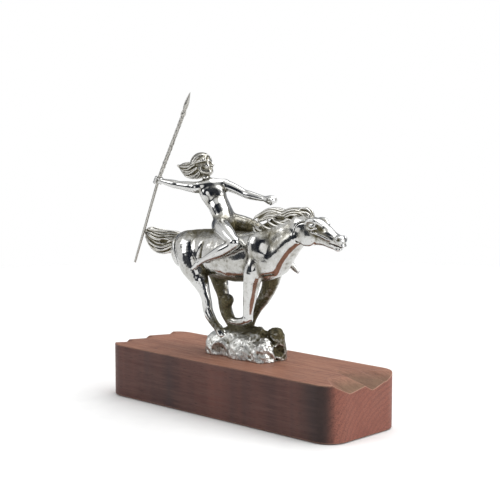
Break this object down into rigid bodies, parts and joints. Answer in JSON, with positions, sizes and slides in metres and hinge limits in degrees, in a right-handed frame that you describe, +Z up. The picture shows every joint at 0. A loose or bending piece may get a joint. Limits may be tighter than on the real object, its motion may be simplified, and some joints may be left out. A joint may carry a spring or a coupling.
{
  "type": "hood ornament",
  "caption": "Plated horse-and-rider hood ornament with a raised spear, on a rock casting, stud-fixed to a rounded hardwood display plinth with fluted ends.",
  "frame": {"origin": "middle of the plinth's underside", "axes": "+Z up, +X along the plinth the way the horse gallops, +Y to the horse's left; the spear is on its right, the -Y side"},
  "size_m": [0.2, 0.066, 0.2046],
  "materials": {
    "polished_plate": "polished chrome plate over cast metal, faint ripple and handling marks",
    "tarnished_plate": "chrome plate worn and olive-brown tarnished in the carved hollows",
    "rock_plate": "plated rough casting, pitted, bright on the high spots and brown in the hollows",
    "spear_plate": "dull mottled plate on wire rod",
    "mahogany": "oiled reddish-brown hardwood, open grain, hand-carved flutes",
    "zinc_steel": "zinc-plated steel fastener"
  },
  "bodies": {
    "root": {"plinth": "mahogany", "rock_casting": "rock_plate", "horse_body": "polished_plate", "right_hind_leg": "polished_plate", "left_hind_leg": "polished_plate", "right_foreleg": "polished_plate", "left_foreleg": "polished_plate", "mane": "tarnished_plate", "tail": "tarnished_plate", "rider_torso": "polished_plate", "rider_head": "tarnished_plate", "rider_right_arm": "polished_plate", "rider_left_arm": "polished_plate", "rider_right_leg": "polished_plate", "rider_left_leg": "polished_plate", "spear_shaft_upper": "spear_plate", "spear_shaft_lower": "spear_plate", "spear_point": "spear_plate", "mounting_stud": "zinc_steel", "stud_washer": "zinc_steel", "stud_nut": "zinc_steel"}
  },
  "joints": []
}
